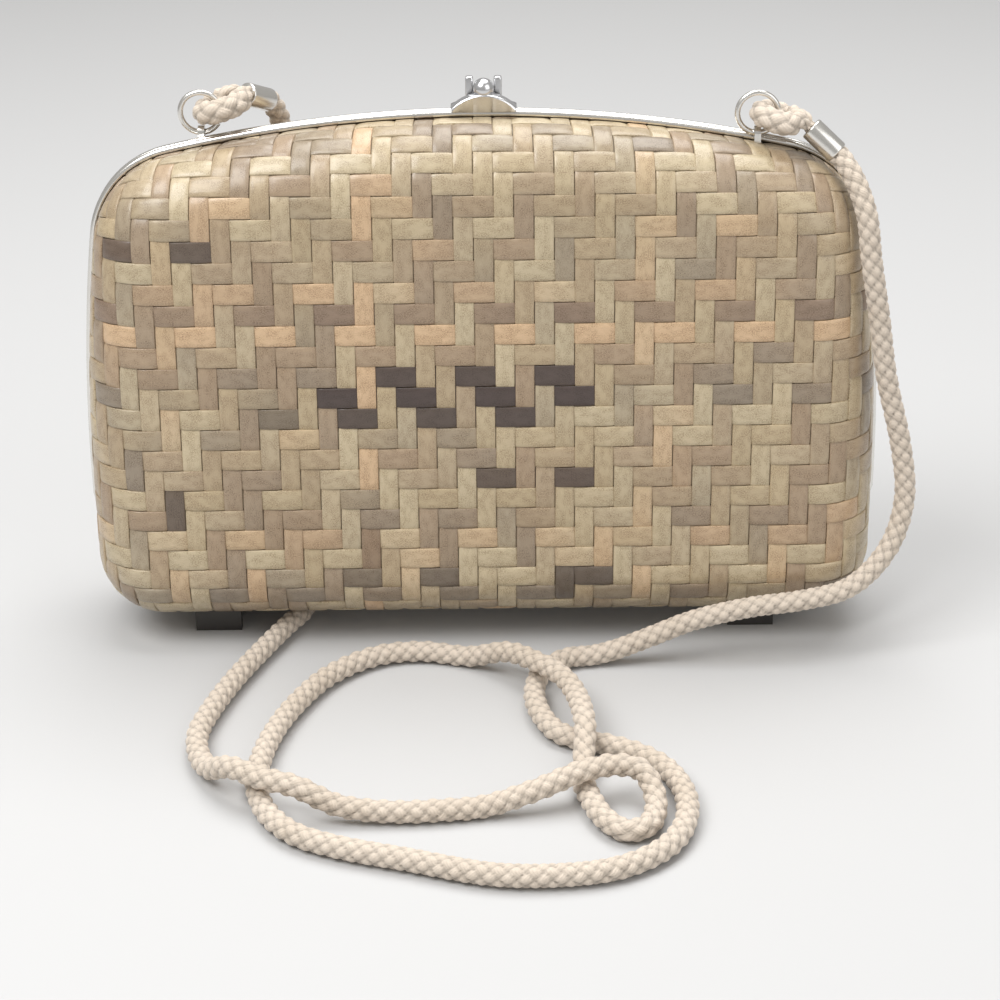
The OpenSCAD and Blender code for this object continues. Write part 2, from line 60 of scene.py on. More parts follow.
# %% Camera
CAMERA_DOWN_DEG = 24
CAMERA_ROLL_DEG = -0.6
camera_data = bpy.data.cameras.new("camera")
camera_data.lens = 90
camera_data.sensor_width = 36
camera = bpy.data.objects.new("camera", camera_data)
camera.location = (0.0044, -0.6, 0.299)
tilt_back = Matrix.Rotation(np.radians(90 - CAMERA_DOWN_DEG), 3, "X")
roll = Matrix.Rotation(np.radians(CAMERA_ROLL_DEG), 3, "Z")
camera.rotation_euler = (tilt_back @ roll).to_euler()
scene = bpy.context.scene
scene.collection.objects.link(camera)
scene.camera = camera
scene.view_settings.view_transform = "Standard"
print(f"camera: {camera_data.lens:.0f} mm lens, {CAMERA_DOWN_DEG} degrees down")

# %% [markdown]
# Three square soft boxes and a dim, slightly warm world light the bag as in a small studio. One small lamp
# would be simpler, but it would burn out the metal. Broad light lets the weave show by its own relief.

# %% Lights


def add_area_light(name, place, aim, size, power):
    """A square soft box at place, turned so that its face looks at aim."""
    data = bpy.data.lights.new(name, "AREA")
    data.size = size
    data.energy = power
    lamp = bpy.data.objects.new(name, data)
    lamp.location = place
    way = np.array(aim, float) - np.array(place, float)
    across = np.hypot(way[0], way[1])
    lamp.rotation_euler = (np.arctan2(across, -way[2]), 0, np.arctan2(way[1], way[0]) - np.pi / 2)
    scene.collection.objects.link(lamp)
    print(f"{name} light: {power} W")


add_area_light("key", place=(-0.5, -0.45, 0.95), aim=(0, 0, 0.07), size=0.6, power=9.5)
add_area_light("fill", place=(0.8, -0.7, 0.6), aim=(0, 0, 0.06), size=0.9, power=3.5)
add_area_light("top", place=(0.1, 0.25, 1.1), aim=(0, 0, 0.08), size=0.8, power=10.0)
world = bpy.data.worlds.new("studio")
world.use_nodes = True
background = world.node_tree.nodes["Background"]
background.inputs["Color"].default_value = (1.0, 0.985, 0.96, 1)
background.inputs["Strength"].default_value = 0.45
scene.world = world

# %% [markdown]
# Every piece goes into a mesh the same way: rows of points, quads between neighbours, a UV map and, for
# the cane and the cord, one colour for each point: the cane's own tone, and painted shade in the cord's
# grooves. Adding vertices one by one would work too, but doing it for the whole array at once keeps the
# script quick.

# %% Mesh helpers


def grid_quads(rows, cols, wrap_rows=False, wrap_cols=False):
    """Quads of a grid of points numbered row by row; a wrapped side joins its last line to its first."""
    r = np.arange(rows if wrap_rows else rows - 1)[:, None]
    c = np.arange(cols if wrap_cols else cols - 1)[None, :]
    r2 = (r + 1) % rows
    c2 = (c + 1) % cols
    quads = np.stack([r * cols + c, r * cols + c2, r2 * cols + c2, r2 * cols + c], -1)
    return quads.reshape(-1, 4)


def make_piece(name, points, quads, material, uv=None, colours=None, caps=(), corner_uv=None):
    """Builds a smooth mesh from points in millimetres, with UVs and colours given for each point."""
    mesh = bpy.data.meshes.new(name)
    faces = [list(q) for q in quads.tolist()] + [list(c) for c in caps]
    mesh.from_pydata((np.asarray(points).reshape(-1, 3) * MM).tolist(), [], faces)
    mesh.polygons.foreach_set("use_smooth", np.ones(len(mesh.polygons), bool))
    if uv is not None:
        corner = np.zeros(len(mesh.loops), np.int32)
        mesh.loops.foreach_get("vertex_index", corner)
        corner_uv = np.asarray(uv).reshape(-1, 2)[corner]
    if corner_uv is not None:
        filled = np.zeros((len(mesh.loops), 2), np.float32)
        filled[: len(corner_uv)] = corner_uv
        mesh.uv_layers.new(name="lay").data.foreach_set("uv", filled.ravel())
    if colours is not None:
        layer = mesh.color_attributes.new("tone_and_groove_shade", "FLOAT_COLOR", "POINT")
        layer.data.foreach_set("color", np.asarray(colours, np.float32).reshape(-1, 4).ravel())
    mesh.materials.append(material)
    mesh.update()
    piece = bpy.data.objects.new(name, mesh)
    scene.collection.objects.link(piece)
    print(f"{name}: {len(mesh.vertices)} points, {len(mesh.polygons)} faces")
    return piece


def cap_ends(rows, cols):
    """One face over each open end of a tube whose rows run along it."""
    first = list(range(cols))
    last = list(range((rows - 1) * cols, rows * cols))[::-1]
    return [first, last]


# %% [markdown]
# A material is a small tree of nodes. These helpers add a node, fill or link its inputs, and hand back the
# socket that carries its result, so each finish further down reads as a short recipe.

# %% Material helpers


def put_node(tree, kind, values=None, **settings):
    """Adds a shader node, sets its properties, and fills or links its inputs by name or number."""
    n = tree.nodes.new(kind)
    for key, value in settings.items():
        setattr(n, key, value)
    for key, value in (values or {}).items():
        if isinstance(value, bpy.types.NodeSocket):
            tree.links.new(value, n.inputs[key])
        else:
            n.inputs[key].default_value = value
    return n


def start_material(name):
    """A new material with only its surface shader; gives the material, its tree and the shader."""
    material = bpy.data.materials.new(name)
    material.use_nodes = True
    return material, material.node_tree, material.node_tree.nodes["Principled BSDF"]


def stretched(tree, source, scale):
    """The source coordinates, multiplied along each axis."""
    return put_node(tree, "ShaderNodeMapping", {"Vector": source, "Scale": scale}).outputs["Vector"]


def noise(tree, vector, scale, detail=2.0, roughness=0.5):
    """Grey noise on a vector."""
    values = {"Vector": vector, "Scale": scale, "Detail": detail, "Roughness": roughness}
    return put_node(tree, "ShaderNodeTexNoise", values).outputs["Fac"]


def remap(tree, value, low, high, to_low, to_high):
    """A straight line from low..high to to_low..to_high, held at the ends."""
    values = {"Value": value, "From Min": low, "From Max": high, "To Min": to_low, "To Max": to_high}
    return put_node(tree, "ShaderNodeMapRange", values).outputs["Result"]


def blend_colours(tree, share, first, second, mode="MIX"):
    """Mixes two colours by a share."""
    n = put_node(tree, "ShaderNodeMix", data_type="RGBA", blend_type=mode)
    for key, value in ((0, share), (6, first), (7, second)):
        if isinstance(value, bpy.types.NodeSocket):
            tree.links.new(value, n.inputs[key])
        else:
            n.inputs[key].default_value = value
    return n.outputs[2]


def add_bump(tree, shader, height, strength, distance):
    """Relief for the light only, from a grey height."""
    values = {"Height": height, "Strength": strength, "Distance": distance}
    tree.links.new(put_node(tree, "ShaderNodeBump", values).outputs["Normal"], shader.inputs["Normal"])


# %% [markdown]
# The bag stands on a plain pale floor. One large square is enough.

# %% Floor
floor_material, _, floor_shader = start_material("pale_floor")
floor_shader.inputs["Base Color"].default_value = (0.52, 0.52, 0.52, 1)
floor_shader.inputs["Roughness"].default_value = 0.85
FLOOR_HALF = 3000
floor_points = [[-FLOOR_HALF, -FLOOR_HALF, 0], [FLOOR_HALF, -FLOOR_HALF, 0], [FLOOR_HALF, FLOOR_HALF, 0],
                [-FLOOR_HALF, FLOOR_HALF, 0]]
floor = make_piece("floor", floor_points, np.array([[0, 1, 2, 3]]), floor_material)

# %% [markdown]
# The cane strips are split from one plant, so each has its own tone: pale straw, straw, tan, a greyed tan
# or a pinkish peach. Fine grain runs along a strip, with dark flecks, and a satin varnish lies over it.
# One material for each tone would work, but then a strip couldn't change tone along its length. So the
# colour is stored on the points, and the grain is noise stretched along the strip's UV.

# %% Cane material
cane, tree, shader = start_material("varnished_cane")
tone_and_groove_shade = put_node(tree, "ShaderNodeVertexColor", layer_name="tone_and_groove_shade").outputs["Color"]
lay = put_node(tree, "ShaderNodeUVMap", uv_map="lay").outputs["UV"]
grain = noise(tree, stretched(tree, lay, (0.2, 3.0, 1)), 3.0, 4.0, 0.65)
mottle = noise(tree, stretched(tree, lay, (0.8, 1.6, 1)), 3.2, 3.0, 0.7)
patches = noise(tree, stretched(tree, lay, (0.3, 0.5, 1)), 1.0, 1.0)
flecks = noise(tree, stretched(tree, lay, (0.5, 2.6, 1)), 2.4, 1.0)
darkness = remap(tree, patches, 0.35, 0.6, 0.15, 1.0)
speckle = put_node(tree, "ShaderNodeMath", {0: remap(tree, mottle, 0.38, 0.56, 0.95, 0.0), 1: darkness},
                   operation="MULTIPLY").outputs[0]
grained = blend_colours(tree, remap(tree, grain, 0.35, 0.7, 0.3, 0.0), tone_and_groove_shade, (0.45, 0.37, 0.3, 1), "MULTIPLY")
mottled = blend_colours(tree, speckle, grained, (0.5, 0.43, 0.36, 1), "MULTIPLY")
flecked = blend_colours(tree, remap(tree, flecks, 0.68, 0.78, 0.0, 0.5), mottled, (0.1, 0.075, 0.065, 1))
tree.links.new(flecked, shader.inputs["Base Color"])
tree.links.new(remap(tree, grain, 0.3, 0.7, 0.5, 0.36), shader.inputs["Roughness"])
shader.inputs["Coat Weight"].default_value = 0.4
shader.inputs["Coat Roughness"].default_value = 0.2
add_bump(tree, shader, grain, 0.25, 0.0002)
print(f"{cane.name}: {len(tree.nodes)} nodes")

# %% [markdown]
# The outline of the bag is a chain of tangent arcs. A flat mat larger than the outline is wrapped over
# each half: up the side wall, round the edge, and across the face. Any flat point then has a place on
# the bag, so a strip that is straight on the mat follows the rounded form. A sculpted shell would look
# alike from afar, but it would have no way along it for the strips.

# %% The outline and the wrapped mat
BODY_W, BODY_H, LIFT = 200.0, 129.0, 6.2
HALF_DEPTH, EDGE_R, DEPTH_TAPER = 20.5, 16.0, 0.34
ARCH_R, SHOULDER_R, CORNER_R = 350.0, 24.0, 17.0
SIDE_R, SIDE_FROM = 465.0, 36.0
PART_GAP, RIM_T, RIM_IN, RIM_OUT, RIM_END = 0.3, 1.0, 3.5, 2.0, 27.0
HALF_W = BODY_W / 2
CORNER_X = HALF_W - CORNER_R
RIM_Y = PART_GAP / 2 + RIM_T
WALL_Y = HALF_DEPTH - EDGE_R
QUARTER = np.pi / 2 * EDGE_R
UNROLL = WALL_Y + QUARTER - EDGE_R
ARCH_C = np.array([0.0, BODY_H - ARCH_R])
SIDE_C = np.array([HALF_W - SIDE_R, SIDE_FROM])
# The shoulder's centre is where circles about the other two centres meet.
between = SIDE_C - ARCH_C
apart = np.hypot(*between)
part_way = ((ARCH_R - SHOULDER_R) ** 2 - (SIDE_R - SHOULDER_R) ** 2 + apart**2) / (2 * apart)
off_line = np.sqrt((ARCH_R - SHOULDER_R) ** 2 - part_way**2)
SHOULDER_C = ARCH_C + between * part_way / apart + np.array([between[1], -between[0]]) * off_line / apart
MIDDLE_Z = SIDE_FROM
HALVES = (("front", -1, "front_half"), ("rear", 1, "rear_half"))
print(f"shoulder arc about {SHOULDER_C[0]:.1f}, {SHOULDER_C[1]:.1f} mm")


def from_arc(a, z, centre, r):
    """Direction away from an arc's centre, and the distance in from the arc."""
    far = np.maximum(np.hypot(a - centre[0], z - centre[1]), 1e-9)
    return (a - centre[0]) / far, (z - centre[1]) / far, r - far


def side_of_shoulder(a, z, centre):
    """Which side of the line from an arc's centre through the shoulder's centre a point is on."""
    return (a - centre[0]) * (SHOULDER_C[1] - centre[1]) - (z - centre[1]) * (SHOULDER_C[0] - centre[0])


def nearest_edge(x, z):
    """Outward direction at the nearest stretch of the outline, and the distance in from it."""
    a = np.abs(x)
    none = 0 * a
    low = z < CORNER_R
    cases = [low & (a >= CORNER_X), low, z < SIDE_FROM, side_of_shoulder(a, z, SIDE_C) > 0,
             side_of_shoulder(a, z, ARCH_C) < 0]
    stretches = [from_arc(a, z, (CORNER_X, CORNER_R), CORNER_R), (none, none - 1, z),
                 (none + 1, none, HALF_W - a), from_arc(a, z, SIDE_C, SIDE_R), from_arc(a, z, ARCH_C, ARCH_R)]
    shoulder = from_arc(a, z, SHOULDER_C, SHOULDER_R)
    nx, nz, inside = (np.select(cases, [s[i] for s in stretches], shoulder[i]) for i in range(3))
    return np.where(x < 0, -nx, nx), nz, inside


def place(x, z, y, side):
    """A point of a half from the outline plane and a depth, which grows toward the base."""
    deepen = 1 + DEPTH_TAPER * (0.5 - z / BODY_H)
    return np.stack([x, side * (RIM_Y + y * deepen), z + LIFT], -1)


def wrap_mat(s, t, height, side):
    """Mat point (s, t) laid on a half and lifted by height along the surface normal."""
    nx, nz, inside = nearest_edge(s, t)
    d = inside + UNROLL
    angle = np.clip((d - WALL_Y) / EDGE_R, 0, np.pi / 2)
    inset = np.select([d < WALL_Y, d < WALL_Y + QUARTER], [0.0, EDGE_R * (1 - np.cos(angle))], inside)
    shift = inside - inset + height * np.cos(angle)
    y = np.where(d < WALL_Y, d, WALL_Y + (EDGE_R + height) * np.sin(angle))
    return place(s + nx * shift, t + nz * shift, y, side)


FAR_OUT, HALVINGS = 260.0, 40


def outline_points(angles):
    """Points of the outline in directions from the middle, by halving the distance, and the way out there."""
    cx, cz = np.cos(angles), np.sin(angles)
    low, high = np.zeros_like(angles), np.full_like(angles, FAR_OUT)
    for _ in range(HALVINGS):
        mid = (low + high) / 2
        inside = nearest_edge(cx * mid, MIDDLE_Z + cz * mid)[2] > 0
        low, high = np.where(inside, mid, low), np.where(inside, high, mid)
    x, z = cx * mid, MIDDLE_Z + cz * mid
    nx, nz, _ = nearest_edge(x, z)
    return x, z, nx, nz


# %% [markdown]
# In a two over two twill each strip passes over two and under two, and every next row starts one strip
# further along. The height of a strip is a rounded square wave along its length, with a slight crown
# across it and its two edges turned down, so it reads as a separate ribbon from any side. A relief painted
# on one sheet would be lighter, but its edges would blur where the light grazes them.

# %% The woven strips
COLUMN, ROW = 4.92, 5.38
FIRST_COLUMN, FIRST_ROW = -1.4, 1.6
WEAVE_RISE, SQUARENESS = 0.36, 2.6
STRIP_FILL = 0.965
MAT_EDGE = 0.9
STEPS = 6
CROSS_V = np.array([-1.0, -0.985, -0.92, -0.5, 0.5, 0.92, 0.985, 1.0])
CROSS_H = np.array([-0.5, -0.1, 0.0, 0.04, 0.04, 0.0, -0.1, -0.5])
PALE, STRAW, TAN = (0.58, 0.49, 0.33), (0.51, 0.41, 0.26), (0.4, 0.3, 0.2)
GREY, PEACH, MAUVE = (0.31, 0.255, 0.19), (0.66, 0.47, 0.29), (0.24, 0.17, 0.125)
TONES = np.array([PALE, STRAW, TAN, GREY, PEACH])
TONE_SHARES = [0.27, 0.22, 0.25, 0.2, 0.06]
ROOT_BROWN = np.array([0.075, 0.052, 0.045])
COLUMNS = int(np.ceil((HALF_W + UNROLL) / COLUMN)) + 1
ROWS_UP = int(np.ceil((BODY_H + UNROLL) / ROW))
ROWS_DOWN = int(np.ceil(UNROLL / ROW)) + 1
# Level strips of the front that are dark for a stretch: row, first column, last column, how dark.
DARK_STRETCHES = [(18, -19, -13, 0.85), (12, -5, 5, 0.95), (11, -8, 6, 1.0), (10, -7, 3, 0.95),
                  (7, 0, 6, 0.85), (2, -7, -1, 0.7), (2, 5, 7, 0.85), (10, -11, -9, 0.7)]
# Upright strips of the front that are dark for a stretch: column, first row, last row, how dark.
DARK_UPRIGHTS = [(-16, 4, 7, 0.85), (-6, 2, 5, 0.6), (4, 0, 3, 0.8)]
# A dark stretch reaches this many cells past its ends, and fades in over this many.
DARK_REACH, DARK_FADE = 0.9, 0.5
# Strips of the front whose tones are given.
MAUVE_ROW, PEACH_ROW, PEACH_COLUMN = 15, 14, -6
DRIFT_SHARE, DRIFT_CELLS = 0.25, 1.9
# Steps of the grain's coordinates from strip to strip, and its half width over a strip.
GRAIN_ALONG, GRAIN_ACROSS, GRAIN_HALF = 37.0, 9.0, 2.5


def float_height(x):
    """Height of a strip x cells along: up for two cells, down for two, centred on one."""
    return WEAVE_RISE * np.tanh(SQUARENESS * np.cos(np.pi * (x - 1) / 2)) / np.tanh(SQUARENESS)


def strip_colours(level, side, strips, k, c):
    """Colour of each strip point: half the strip's own tone and half the float's, and dark stretches."""
    first = TONES[rng.choice(len(TONES), len(strips), p=TONE_SHARES)]
    first = first * rng.uniform(0.9, 1.1, (len(strips), 1))
    floats = np.floor((c + k + (2 if level else 0)) / 4).astype(int)
    floats -= floats.min()
    second = TONES[rng.choice(len(TONES), (len(strips), floats.max() + 1), p=TONE_SHARES)]
    if side < 0 and level:
        first[strips == MAUVE_ROW], first[strips == PEACH_ROW] = MAUVE, PEACH
        second[strips == MAUVE_ROW], second[strips == PEACH_ROW] = TAN, PEACH
    if side < 0 and not level:
        first[strips == PEACH_COLUMN], second[strips == PEACH_COLUMN] = PEACH, PEACH
    at = k - strips[0]
    shift = rng.uniform(0, 6.28, len(strips))
    drift = np.clip(0.5 + DRIFT_SHARE * np.sin(c / DRIFT_CELLS + shift[at]), 0, 1)[..., None]
    colours = first[at] * (1 - drift) + second[at, floats] * drift
    if side < 0:
        for strip, start, end, share in DARK_STRETCHES if level else DARK_UPRIGHTS:
            past_ends = np.minimum(c - start + DARK_REACH, end + DARK_REACH - c)
            inside = np.clip(past_ends / DARK_FADE, 0, 1) * share * (k == strip)
            colours = colours * (1 - inside[..., None]) + ROOT_BROWN * inside[..., None]
    return np.concatenate([colours, np.ones(c.shape + (1,))], -1)


# %% Strips of one half


def weave_strips(level, side):
    """All level or all upright strips of a half as one set of ribbons.

    A ribbon's points are (along, across): along runs over the cells of the mat and across over CROSS_V.
    Its height is the twill wave plus the cross-section. Points past the mat's edge slide back onto it.
    """
    rows, columns = np.arange(-ROWS_DOWN, ROWS_UP + 1), np.arange(-COLUMNS, COLUMNS + 1)
    strips, crossed, pitch, other = (rows, columns, ROW, COLUMN) if level else (columns, rows, COLUMN, ROW)
    strip_from, cell_from = (FIRST_ROW, FIRST_COLUMN) if level else (FIRST_COLUMN, FIRST_ROW)
    cells = np.arange(crossed[0] * STEPS, crossed[-1] * STEPS + 1) / STEPS
    k, c, v = np.meshgrid(strips, cells, CROSS_V, indexing="ij")
    across = strip_from + (k + 0.5 + 0.5 * STRIP_FILL * v) * pitch
    along = cell_from + c * other
    height = float_height(c + k + (1 if level else -1)) + CROSS_H[None, None, :]
    s, t = (along, across) if level else (across, along)
    nx, nz, inside = nearest_edge(s, t)
    short = np.maximum(MAT_EDGE - (inside + UNROLL), 0)
    points = wrap_mat(s - nx * short, t - nz * short, height, side)
    n_strip, n_along, n_cross = k.shape
    quads = grid_quads(n_strip * n_along, n_cross)
    row = quads[:, 0] // n_cross
    gone = (short > 0).reshape(-1)[quads].all(1) | ((row + 1) % n_along == 0)
    quads = quads[~gone]
    if (side < 0) != level:
        quads = quads[:, ::-1]
    colours = strip_colours(level, side, strips, k, c)
    uv = np.stack([along + GRAIN_ALONG * k, v * GRAIN_HALF + GRAIN_ACROSS * k], -1)
    used, flat = np.unique(quads, return_inverse=True)
    quads = flat.reshape(quads.shape)
    points, uv, colours = (a.reshape(-1, a.shape[-1])[used] for a in (points, uv, colours))
    return points, quads, uv, colours


for half, side, body in HALVES:
    for lie, level in (("level", True), ("upright", False)):
        points, quads, uv, colours = weave_strips(level, side)
        strips = make_piece(f"{half}_{lie}_strips", points, quads, cane, uv, colours)
        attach(strips, body)
        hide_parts(f"{half}_shell")

# %% [markdown]
# Under the strips is a stiff card wall. Only its dark brown shows, in the thin gaps of the weave and at
# the rim, so it is a plain closed shell a little inside the strips. A Solidify modifier could thicken one
# sheet, but an outer and an inner line of the same formula keep the wall's ends square at the rim.

# %% The card wall
card, tree, shader = start_material("brown_card")
spot = put_node(tree, "ShaderNodeTexCoord").outputs["Object"]
fibres = noise(tree, spot, 900.0, 3.0)
shade = blend_colours(tree, fibres, (0.09, 0.055, 0.03, 1), (0.16, 0.1, 0.055, 1))
tree.links.new(shade, shader.inputs["Base Color"])
shader.inputs["Roughness"].default_value = 0.85
SHELL_SINK, WALL_T, LINING_T = 0.75, 1.6, 0.6
ROUND_STEPS, FACE_STEPS, TURN_STEPS = 10, 8, 320
turn = np.arange(TURN_STEPS) / TURN_STEPS * 2 * np.pi


def half_lines(thick, side):
    """Lines from the rim to the middle of the face for a wall sunk by thick: wall, edge arc, face."""
    x, z, nx, nz = outline_points(turn)
    arc = np.linspace(0, np.pi / 2, ROUND_STEPS)
    r = EDGE_R - thick
    inset = np.concatenate([[thick, thick], thick + r * (1 - np.cos(arc[1:]))])
    depth = np.concatenate([[0.0, WALL_Y], WALL_Y + r * np.sin(arc[1:])])
    edge_x, edge_z = x[None] - nx[None] * inset[:, None], z[None] - nz[None] * inset[:, None]
    face = np.linspace(1, 0, FACE_STEPS)[1:, None]
    face_x = edge_x[-1][None] * face
    face_z = MIDDLE_Z + (edge_z[-1][None] - MIDDLE_Z) * face
    all_x, all_z = np.concatenate([edge_x, face_x]), np.concatenate([edge_z, face_z])
    all_y = np.concatenate([depth, np.full(len(face), depth[-1])])[:, None] + 0 * all_x
    return place(all_x, all_z, all_y, side)


for half, side, body in HALVES:
    outer, inner = half_lines(SHELL_SINK, side), half_lines(WALL_T, side)
    points = np.concatenate([outer[::-1], inner])
    quads = grid_quads(len(points), TURN_STEPS, wrap_cols=True)
    wall = make_piece(f"{half}_card_wall", points, quads if side < 0 else quads[:, ::-1], card)
    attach(wall, body)

# %% [markdown]
# The inside is lined with satin glued to the wall. It shows when the bag is open. The sheet has a little
# padding, drawn as shallow waves, and its finish is fine lines of thread. Its colour goes lighter and darker
# in soft patches: painted shade of folds. It never comes loose, so cloth physics would add nothing here.

# %% The lining
satin, tree, shader = start_material("satin_lining")
spot = put_node(tree, "ShaderNodeTexCoord").outputs["Object"]
threads = put_node(tree, "ShaderNodeTexWave", {"Vector": spot, "Scale": 900.0, "Distortion": 1.5})
painted_fold_shade = noise(tree, spot, 40.0, 3.0)
# Painted shade: the satin is lighter and darker in soft patches, as if lit over folds.
shade = blend_colours(tree, painted_fold_shade, (0.42, 0.3, 0.17, 1), (0.56, 0.42, 0.26, 1))
tree.links.new(shade, shader.inputs["Base Color"])
shader.inputs["Roughness"].default_value = 0.45
shader.inputs["Sheen Weight"].default_value = 0.3
add_bump(tree, shader, threads.outputs["Fac"], 0.2, 0.0001)
GLUE_T = 0.1
PUFF_RISE, PUFF_X, PUFF_Z, PUFF_FROM = 0.12, 0.33, 0.29, 12
for half, side, body in HALVES:
    outer, inner = half_lines(WALL_T + GLUE_T, side), half_lines(WALL_T + GLUE_T + LINING_T, side)
    puff = PUFF_RISE * np.sin(inner[..., 0] * PUFF_X) * np.sin(inner[..., 2] * PUFF_Z)
    inner[..., 1] -= side * np.abs(puff) * (np.abs(inner[..., 1]) > PUFF_FROM)
    points = np.concatenate([outer[::-1], inner])
    quads = grid_quads(len(points), TURN_STEPS, wrap_cols=True)
    lining = make_piece(f"{half}_satin", points, quads if side < 0 else quads[:, ::-1], satin)
    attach(lining, body)
    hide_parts(f"{half}_lining")

# %% [markdown]
# The rims, rings, eyelets and ferrules are bright nickel and the clasp is chrome. The hinges are steel made
# nearly black as painted shade, so the feet under the base pass for the shadow there. One flat colour with
# full shine would look like a mirror, and real plating is never quite even. So its roughness drifts a little,
# and fine scratches break the shine.

# %% Nickel, chrome and steel


def plated(name, colour, rough):
    """Bright plating with a slow drift in its polish and fine scratches."""
    material, tree, shader = start_material(name)
    spot = put_node(tree, "ShaderNodeTexCoord").outputs["Object"]
    drift = noise(tree, spot, 60.0, 2.0)
    scratch = noise(tree, stretched(tree, spot, (1, 9, 2)), 700.0, 2.0)
    shade = blend_colours(tree, drift, colour, tuple(0.94 * c for c in colour[:3]) + (1,))
    tree.links.new(shade, shader.inputs["Base Color"])
    tree.links.new(remap(tree, drift, 0.3, 0.7, rough, rough + 0.06), shader.inputs["Roughness"])
    shader.inputs["Metallic"].default_value = 1.0
    add_bump(tree, shader, scratch, 0.03, 0.00005)
    return material


nickel = plated("bright_nickel", (0.8, 0.78, 0.74, 1), 0.22)
chrome = plated("polished_chrome", (0.72, 0.72, 0.73, 1), 0.2)
# Painted shade: the hinge steel is nearly black so that the feet under the base pass for its shadow.
shadow_dark_steel = plated("shadow_dark_steel", (0.1, 0.095, 0.09, 1), 0.5)
hinges = ("front_hinge_left", "front_hinge_right", "rear_hinge_left", "rear_hinge_right", "hinge_pin_left",
          "hinge_pin_right")
finishes = [(nickel, ("right_eyelet", "left_eyelet", "right_ring", "left_ring")),
            (shadow_dark_steel, hinges)]
for finish, names in finishes:
    for name in names:
        nodes[name].data.materials.clear()
        nodes[name].data.materials.append(finish)
    print(f"{finish.name}: {', '.join(names)}")

# %% [markdown]
# Each half is edged with a rim: a flat plate behind the shell with a round bead on its outer edge. The
# section is drawn once, as steps outward from the outline and back from the parting, and is carried
# round the outline. Near the base the bead sinks into the plate. A bevelled curve could carry one section
# too, but it couldn't let the bead fade out.

# %% The rims
BEAD_R, BEAD_SUNK, STEP_IN, BEAD_FADE = 0.9, 0.05, 1.0, 4
bead_turn = np.radians(np.linspace(-90, 130, 13))
bead_out = RIM_OUT - BEAD_SUNK - BEAD_R + BEAD_R * np.cos(bead_turn)
bead_back = PART_GAP / 2 + BEAD_R + BEAD_R * np.sin(bead_turn)
section_out = np.concatenate([[-RIM_IN, -STEP_IN], bead_out, [0.0, -STEP_IN, -RIM_IN]])
section_back = np.concatenate([[PART_GAP / 2] * 2, bead_back, [RIM_Y] * 3])
RIM_STEPS = 480
rim_turn = np.arange(RIM_STEPS) / RIM_STEPS * 2 * np.pi
for half, side, body in HALVES:
    x, z, nx, nz = outline_points(rim_turn)
    proud = np.clip((z - RIM_END + BEAD_FADE / 2) / BEAD_FADE, 0, 1)[:, None]
    out = np.where(section_out[None] > 0, section_out[None] * proud, section_out[None])
    sunk_back = RIM_Y + (section_back[None] - RIM_Y) * proud
    back = np.where(section_back[None] > RIM_Y, sunk_back, section_back[None])
    out_x, out_z = x[:, None] + nx[:, None] * out, z[:, None] + nz[:, None] * out + LIFT
    points = np.stack([out_x, side * back, out_z], -1)
    quads = grid_quads(RIM_STEPS, len(section_out), wrap_rows=True, wrap_cols=True)
    rim = make_piece(f"{half}_rim", points, quads if side < 0 else quads[:, ::-1], nickel)
    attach(rim, body)
    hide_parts(f"{half}_frame")

# %% [markdown]
# The strap is a braided cotton cord. Its route is a list of points through which a smooth curve runs. They
# follow the cord of the solids, except down the right side, where the strap hangs a few millimetres off it.
# A cord dropped by physics would lie well too, but not in these loops and crossings. Round the curve goes
# a tube whose radius swells and dips with the plait.

# %% The strap's route
STRAP_D = 5.6
STRAP_R = STRAP_D / 2
FLOOR_GAP, CROSS_GAP, TOUCH = 0.2, 0.3, 0.05
GROUND = STRAP_R + FLOOR_GAP
OVER = GROUND + STRAP_D + CROSS_GAP
RING_X, RING_R, WIRE_R, WIRE_PLAY, EYELET_T = 68.5, 5.0, 0.7, 0.25, 0.7
FERRULE_L, FERRULE_T, LOOP_L, LOOP_R = 9.0, 0.35, 8.5, 3.1
CORD_CRUSH, CORD_INSIDE, CORD_OUTSIDE = 0.2, 3, 0.1
WIRE_Z = LIFT + ARCH_C[1] + np.sqrt(ARCH_R**2 - RING_X**2) + RIM_OUT + WIRE_R + TOUCH
RING_Z = WIRE_Z + RING_R
EYELET_R = WIRE_R + WIRE_PLAY + EYELET_T
RING_Y = RIM_Y + EYELET_R + TOUCH
FERRULE_R = STRAP_R - CORD_CRUSH + FERRULE_T


def unit(v):
    """A vector of length one."""
    return np.asarray(v, float) / np.linalg.norm(v)


def loop_frame(x, side, lean_deg, turn_deg):
    """Where a doubled end hooks on its ring: the wire point, the way out, and the way across."""
    lean, turn_by = np.radians(lean_deg), np.radians(turn_deg)
    wire = np.array([x + RING_R * np.cos(lean), side * RING_Y, RING_Z + RING_R * np.sin(lean)])
    out = np.array([np.cos(turn_by) * np.cos(lean), np.sin(turn_by), np.cos(turn_by) * np.sin(lean)])
    across = np.array([-np.sin(turn_by) * np.cos(lean), np.cos(turn_by), -np.sin(turn_by) * np.sin(lean)])
    return wire, out, across


